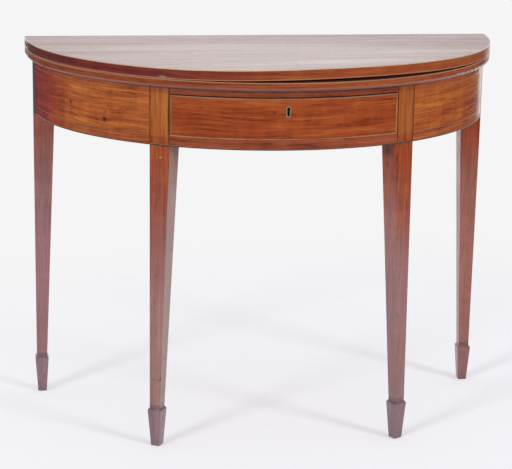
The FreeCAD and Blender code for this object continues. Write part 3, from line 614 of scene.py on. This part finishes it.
def leg_tint(shader, grain, value, colour, sheen, sheen_height, high_sheen, foot, side=None, post_front=None):
    """A painted reflection of the floor as a sheen, darker colours low down, painted shade at the ledge and a
    darker spade foot; side and post tints, if given, paint a reflection on the sides and a colour on the
    post's front.
    """
    height = shader.split(shader.point)[2]
    full_below = sheen_height - SHEEN_FADE
    least_above = sheen_height + SHEEN_FADE
    # Painted reflection of the pale floor, fullest low on the leg
    sheened = shader.fade(height, full_below, least_above, SHEEN_FULL, high_sheen)
    colour = shader.mix(sheened, colour, shader.ramp(value, sheen))
    if side:
        side_colours, side_reflection_share = side
        # A painted reflection on the leg's sides
        colour = shader.mix(side_share(shader, side_reflection_share), colour, shader.ramp(value, side_colours))
    # Darker towards the bottom of the leg
    low_darkening = shader.fade(height, *LOW_DARKENING_HEIGHTS, LOW_DARKENING_SHARE, 0.0)
    colour = shader.mix(low_darkening, colour, STAIN_AND_SHADE_GREY)
    if post_front:
        # Painted shade and grime on the left rear post's front, a painted reflection on the right
        colour = shader.mix(post_front_share(shader, height), colour, post_front)
    spade = shader.fade(height, SPADE_TOP - SPADE_BLUR, SPADE_TOP + SPADE_BLUR, SPADE_SHARE, 0.0)
    colour = shader.mix(spade, colour, shader.ramp(value, foot))
    # Darker at the very bottom of the leg
    colour = shader.mix(shader.fade(height, 0.0, BOTTOM_DARKENING_HEIGHT, BOTTOM_DARKENING_SHARE, 0.0), colour, STAIN_AND_SHADE_GREY)
    # Painted shade at the ledge of the spade foot
    from_ledge = shader.math("ABSOLUTE", shader.math("SUBTRACT", height, LEDGE_HEIGHT))
    return shader.mix(shader.fade(from_ledge, *LEDGE_SHADE_RANGE, LEDGE_SHADE_SHARE, 0.0), colour, STAIN_AND_SHADE_GREY)


def leaf_tint(shader, grain, value, colour, left_red):
    """Faded flat faces, a rim that is redder towards the left, and a grey painted reflection of the floor
    where it turns under.
    """
    along = shader.split(grain)[0]
    patches = shader.fade(shader.noise(grain, PATCH_WAVES), *PATCH_RANGE, PATCH_LEAST, 1.0)
    redness = shader.math("MULTIPLY", shader.fade(along, *RED_RIM, left_red, 0.0), patches)
    redness = shader.math("MULTIPLY", redness, shader.math("SUBTRACT", 1.0, back_share(shader)))
    rim = shader.mix(redness, colour, shader.ramp(value, MAROON_MAHOGANY))
    # Painted reflection of the floor where the rim turns under
    under_reflection = shader.fade(shader.split(shader.normal)[2], *UNDER_NORMALS, UNDER_REFLECTION_SHARE, 0.0)
    rim = shader.mix(under_reflection, rim, RIM_REFLECTION_GREY)
    return shader.mix(face_share(shader), rim, shader.ramp(value, TOP_MAHOGANY))


def metal(name, colours, roughness):
    """Old metal: rubbed bright in places, dull and brown in others, with fine scratches."""
    shader = Shader(bpy.data.materials.new(name))
    tarnish = shader.noise(shader.point, TARNISH_WAVES, TARNISH_DETAIL, TARNISH_NOISE_ROUGHNESS)
    scratches = shader.noise(shader.point, SCRATCH_WAVES)
    colour = shader.ramp(shader.fade(tarnish, *TARNISH_RANGE), colours)
    rough = shader.fade(tarnish, *DULL_RANGE, roughness, roughness + DULL_RISE)
    inputs = {"Base Color": colour, "Roughness": rough, "Metallic": 1.0,
              "Normal": shader.bump(scratches, SCRATCH_RELIEF, SCRATCH_RELIEF_STRENGTH)}
    return shader.finish(shader.node("ShaderNodeBsdfPrincipled", inputs).outputs[0])


def dress(material, *names):
    """Gives CAD nodes a material in place of their own."""
    for name in names:
        mesh = nodes[name].data
        mesh.materials.clear()
        mesh.materials.append(material)


def both(stem):
    return stem + "_left", stem + "_right"


def dress_top():
    for seed, (leaf, left_red) in enumerate(LEAF_REDNESS.items(), start=FIRST_LEAF_SEED):
        tint = partial(leaf_tint, left_red=left_red)
        mahogany = wood(leaf + "_mahogany", leaf_grain, MAHOGANY, seed, tint,
                        polish=LEAF_POLISH, marks=MARKS["leaf"])
        dress(mahogany, leaf)
    dress(wood("top_line_wood", bent_grain, TOP_LINE, seed=15), "upper_leaf_top_string")
    # The lines on the rims are darker than the top line: painted shade and dirt
    dress(wood("rim_line_wood", bent_grain, SHADED_RIM_LINE, seed=19), "upper_leaf_bottom_string")
    dress(wood("lower_line_wood", bent_grain, SHADED_LOWER_LINE, seed=1), "lower_leaf_string")


def dress_frieze():
    left = wood("frieze_left_mahogany", bent_grain, LEFT_GOLDEN_MAHOGANY, seed=2, tint=left_frieze_tint,
                marks=MARKS["frieze_left"])
    dress(left, "frieze_left")
    right = wood("frieze_right_mahogany", bent_grain, GOLDEN_MAHOGANY, seed=3, tint=frieze_tint)
    dress(right, "frieze_right")
    dress(wood("frieze_line_wood", bent_grain, FRIEZE_LINE, seed=18), *both("frieze_string"))
    # The bead under the frieze: painted shade and grime below, a pale edge above that is wear and a painted
    # highlight
    dress(wood("bead_mahogany", bent_grain, COCK_BEAD_AND_HIGHLIGHT, seed=6, tint=bead_shade_and_highlight), "frieze_bead")
    # The top rail is darker with painted shade from the leaf's overhang
    dress(wood("shaded_top_rail_mahogany", bent_grain, SHADED_TOP_RAIL_MAHOGANY, seed=5), "drawer_top_rail")
    dress(wood("bottom_rail_mahogany", bent_grain, RAIL_MAHOGANY, seed=5), "drawer_bottom_rail")


def dress_legs():
    for seed, (tablet, colours) in enumerate(TABLET_WOODS.items(), start=FIRST_TABLET_SEED):
        marks = MARKS.get(tablet, ())
        veneer = wood(tablet + "_mahogany", upright_grain, colours, seed, tablet_tint, marks=marks)
        dress(veneer, tablet)
    for seed, (leg, (own, polish, tints)) in enumerate(LEG_LOOKS.items(), start=FIRST_LEG_SEED):
        tint = partial(leg_tint, **tints)
        mahogany = wood(leg + "_mahogany", upright_grain, own, seed, tint, LEG_ROUGHNESS, polish, MARKS[leg])
        dress(mahogany, leg)


def dress_drawer():
    front = wood("drawer_mahogany", bent_grain, DRAWER_MAHOGANY, seed=4, marks=MARKS["drawer"])
    dress(front, "drawer_front")
    # The cock beads' paler colour is partly a painted highlight
    dress(wood("cock_bead_long_wood", bent_grain, COCK_BEAD_AND_HIGHLIGHT, seed=13), "cock_bead_top", "cock_bead_bottom")
    dress(wood("cock_bead_short_wood", upright_grain, COCK_BEAD_AND_HIGHLIGHT, seed=14), *both("cock_bead"))


def dress_inside():
    lengthways = wood("deal_lengthways", lengthways_grain, DEAL, seed=16, roughness=DEAL_ROUGHNESS)
    dress(lengthways, "back_rail", "fixed_hinge_rail", *both("fly_rail"), "drawer_back", "drawer_bottom",
          "glue_blocks")
    crossways = wood("deal_crossways", crossways_grain, DEAL, seed=17, roughness=DEAL_ROUGHNESS)
    dress(crossways, *both("drawer_runner"), *both("drawer_guide"), *both("drawer_kicker"),
          *both("drawer_stop"), *both("drawer_side"))


def dress_metal():
    dress(metal("old_brass", BRASS, BRASS_ROUGHNESS), *both("upper_hinge_strap"), *both("lower_hinge_strap"),
          "lock_case")
    dress(metal("pale_brass", PALE_BRASS, PALE_BRASS_ROUGHNESS), "escutcheon")
    dress(metal("old_steel", STEEL, STEEL_ROUGHNESS), *both("hinge_pin"), *both("gate_pin"),
          "upper_hinge_screws", "lower_hinge_screws", "leaf_fixing_screws", "hinge_rail_screws",
          "lock_key_pin", "lock_bolt", "lock_screws")


def smooth_step(low, high, value):
    """0 below low, 1 above high, and a smooth step between."""
    share = min(max((value - low) / (high - low), 0.0), 1.0)
    return share * share * (3.0 - 2.0 * share)


def warp_lift(x, y):
    """How far the warped leaf has risen at a place: most at the crest on the rim, nothing further in."""
    forward = BACK_Y - y
    angle = math.atan2(x, max(forward, LEAST_FORWARD))
    reach = smooth_step(WARP_REACH, 1.0, math.hypot(x, forward) / TOP_RADIUS)
    along = smooth_step(WARP_START, WARP_CREST, angle) * (1.0 - smooth_step(WARP_CREST, WARP_END, angle))
    return WARP_HEIGHT * along * reach


def cuts(low, high):
    """Places between two ends, a slice step or a little less apart."""
    count = math.ceil((high - low) / SLICE_STEP)
    return [low + (high - low) * step / count for step in range(1, count)]


def warped(node, name):
    """A copy of a leaf's node, cut into slices and lifted by the warp."""
    mesh = bmesh.new()
    mesh.from_mesh(nodes[node].data)
    bmesh.ops.remove_doubles(mesh, verts=mesh.verts, dist=WELD_REACH)
    low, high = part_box(node)
    planes = [((x, 0, 0), (1, 0, 0)) for x in cuts(low.x, high.x)]
    planes += [((0, y, 0), (0, 1, 0)) for y in cuts(low.y, high.y)]
    for place, normal in planes:
        geometry = mesh.verts[:] + mesh.edges[:] + mesh.faces[:]
        bmesh.ops.bisect_plane(mesh, geom=geometry, dist=CUT_REACH, plane_co=place, plane_no=normal)
    for vertex in mesh.verts:
        vertex.co.z += warp_lift(vertex.co.x, vertex.co.y)
    data = bpy.data.meshes.new(name)
    mesh.to_mesh(data)
    mesh.free()
    data.attributes.remove(data.attributes["custom_normal"])
    data.materials.append(nodes[node].data.materials[0])
    data.polygons.foreach_set("use_smooth", [True] * len(data.polygons))
    data.set_sharp_from_angle(angle=SHARP_ANGLE)
    piece = bpy.data.objects.new(name, data)
    bpy.context.scene.collection.objects.link(piece)
    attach(piece, "top_leaf")
    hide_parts(node)


def build_warped_leaf():
    warped("upper_leaf", "upper_leaf_warped")
    warped("upper_leaf_top_string", "upper_leaf_top_line")
    warped("upper_leaf_bottom_string", "upper_leaf_bottom_line")


def mirror_rays(shader):
    """1 where a shiny or clear surface looks, and 0 elsewhere."""
    path = shader.node("ShaderNodeLightPath").outputs
    return shader.math("MAXIMUM", path["Is Glossy Ray"], path["Is Transmission Ray"])


def camera_rays(shader):
    return shader.node("ShaderNodeLightPath").outputs["Is Camera Ray"]


def paper():
    """Pale paper that ends in the studio's own background."""
    shader = Shader(bpy.data.materials.new("paper"))
    fibres = shader.noise(shader.point, FIBRE_WAVES, FIBRE_DETAIL, FIBRE_NOISE_ROUGHNESS)
    shade = shader.fade(fibres, *FIBRE_RANGE, *FIBRE_SHADES)
    shade = shader.math("MULTIPLY", shade, shader.fade(camera_rays(shader), 0.0, 1.0, 1.0, FLOOR_SHADE))
    shade = shader.math("MULTIPLY", shade, shader.math("SUBTRACT", 1.0, mirror_rays(shader)))
    colour = shader.mix(1.0, (*FLOOR_COLOUR, 1.0), shader.join(shade, shade, shade), "MULTIPLY")
    sheet = shader.node("ShaderNodeBsdfDiffuse", {"Color": colour}).outputs[0]
    seen = shader.math("MULTIPLY", camera_rays(shader), FLOOR_GLOW)
    mirrored = shader.math("MULTIPLY", mirror_rays(shader), FLOOR_MIRRORED)
    inputs = {"Color": FLOOR_GLOW_COLOUR, "Strength": shader.math("ADD", seen, mirrored)}
    glow = shader.node("ShaderNodeEmission", inputs).outputs[0]
    sheet = shader.node("ShaderNodeAddShader", {0: sheet, 1: glow}).outputs[0]
    nothing = shader.node("ShaderNodeBsdfTransparent").outputs[0]
    distance = shader.length(shader.vector("SUBTRACT", shader.point, FLOOR_CENTRE))
    full = shader.fade(camera_rays(shader), 0.0, 1.0, LIT_FLOOR_FULL, SEEN_FLOOR_FULL)
    gone = shader.fade(camera_rays(shader), 0.0, 1.0, LIT_FLOOR_GONE, SEEN_FLOOR_GONE)
    share = shader.fade(distance, full, gone)
    return shader.finish(shader.node("ShaderNodeMixShader", {0: share, 1: sheet, 2: nothing}).outputs[0])


def build_floor():
    mesh = bmesh.new()
    bmesh.ops.create_circle(mesh, cap_ends=True, segments=FLOOR_SIDES, radius=FLOOR_RADIUS)
    data = bpy.data.meshes.new("floor")
    mesh.to_mesh(data)
    mesh.free()
    data.materials.append(paper())
    floor = bpy.data.objects.new("floor", data)
    bpy.context.scene.collection.objects.link(floor)


def build_lamp(name, degrees, watts, shadow):
    """A soft lamp round the table, left out of reflections."""
    data = bpy.data.lights.new(name, "AREA")
    data.shape = "DISK"
    data.size = LAMP_SIZE
    data.energy = watts
    data.use_shadow = shadow
    lamp = bpy.data.objects.new(name, data)
    level = LAMP_DISTANCE * math.cos(LAMP_ELEVATION)
    azimuth = math.radians(degrees)
    lamp.location = LAMP_AIM + Vector((level * math.sin(azimuth), -level * math.cos(azimuth),
                                       LAMP_DISTANCE * math.sin(LAMP_ELEVATION)))
    lamp.rotation_euler = (LAMP_AIM - lamp.location).to_track_quat("-Z", "Y").to_euler()
    lamp.visible_glossy = False
    bpy.context.scene.collection.objects.link(lamp)


def mirrored_studio(shader):
    """What shiny surfaces see past the floor: a bright backdrop behind the table and a dim room."""
    x, y, z = shader.split(shader.direction)
    behind = shader.fade(y, *BACKDROP_BEHIND)
    from_left = shader.fade(x, *BACKDROP_LEFT)
    to_right = shader.fade(x, *BACKDROP_RIGHT, 1.0, 0.0)
    foot = shader.math("MULTIPLY", behind, shader.math("MULTIPLY", from_left, to_right))
    lower = shader.fade(foot, 0.0, 1.0, ROOM_FLOOR_LEVEL, BACKDROP_FOOT_LEVEL)
    aside = shader.math("ABSOLUTE", shader.math("SUBTRACT", x, BACKDROP_MIDDLE))
    backdrop = shader.fade(aside, *BACKDROP_ASIDE, BACKDROP_LEVEL, BACKDROP_SIDE_LEVEL)
    upper = shader.fade(behind, 0.0, 1.0, ROOM_LEVEL, backdrop)
    above = shader.fade(z, *HORIZON)
    return shader.mix(above, shader.join(lower, lower, lower), shader.join(upper, upper, upper))


def build_world():
    """A white backdrop for the camera, a studio for shiny surfaces and even light for the rest."""
    world = bpy.data.worlds.new("studio")
    bpy.context.scene.world = world
    shader = Shader(world)
    ambient = shader.fade(shader.split(shader.direction)[2], *AMBIENT_RISE, AMBIENT_LOW, AMBIENT_HIGH)
    even = shader.join(ambient, ambient, ambient)
    colour = shader.mix(mirror_rays(shader), even, mirrored_studio(shader))
    colour = shader.mix(camera_rays(shader), colour, BACKGROUND_COLOUR)
    background = shader.node("ShaderNodeBackground", {"Color": colour, "Strength": 1.0}).outputs[0]
    shader.finish(background, "ShaderNodeOutputWorld")


def build_camera():
    """The photograph's own view."""
    forward = Vector((math.sin(CAMERA_YAW) * math.cos(CAMERA_PITCH),
                      math.cos(CAMERA_YAW) * math.cos(CAMERA_PITCH), -math.sin(CAMERA_PITCH)))
    level = Vector((math.cos(CAMERA_YAW), -math.sin(CAMERA_YAW), 0.0))
    lift = level.cross(forward)
    right = math.cos(CAMERA_ROLL) * level + math.sin(CAMERA_ROLL) * lift
    up = math.cos(CAMERA_ROLL) * lift - math.sin(CAMERA_ROLL) * level
    data = bpy.data.cameras.new("camera")
    data.sensor_fit = "HORIZONTAL"
    data.sensor_width = SENSOR_WIDTH
    data.lens = FOCAL_PIXELS / IMAGE_WIDTH * SENSOR_WIDTH
    data.shift_x = (IMAGE_WIDTH / 2 - CENTRE_X_PIXEL) / IMAGE_WIDTH
    data.shift_y = (CENTRE_Y_PIXEL - IMAGE_HEIGHT / 2) / IMAGE_WIDTH
    camera = bpy.data.objects.new("camera", data)
    turn = Matrix((right, up, -forward)).transposed()
    camera.matrix_world = Matrix.Translation(CAMERA_PLACE) @ turn.to_4x4()
    bpy.context.scene.collection.objects.link(camera)
    bpy.context.scene.camera = camera


dress_top()
dress_frieze()
dress_legs()
dress_drawer()
dress_inside()
dress_metal()
build_warped_leaf()
build_floor()
for name, settings in LAMPS.items():
    build_lamp(name, *settings)
build_world()
build_camera()
bpy.context.scene.view_settings.view_transform = "Standard"
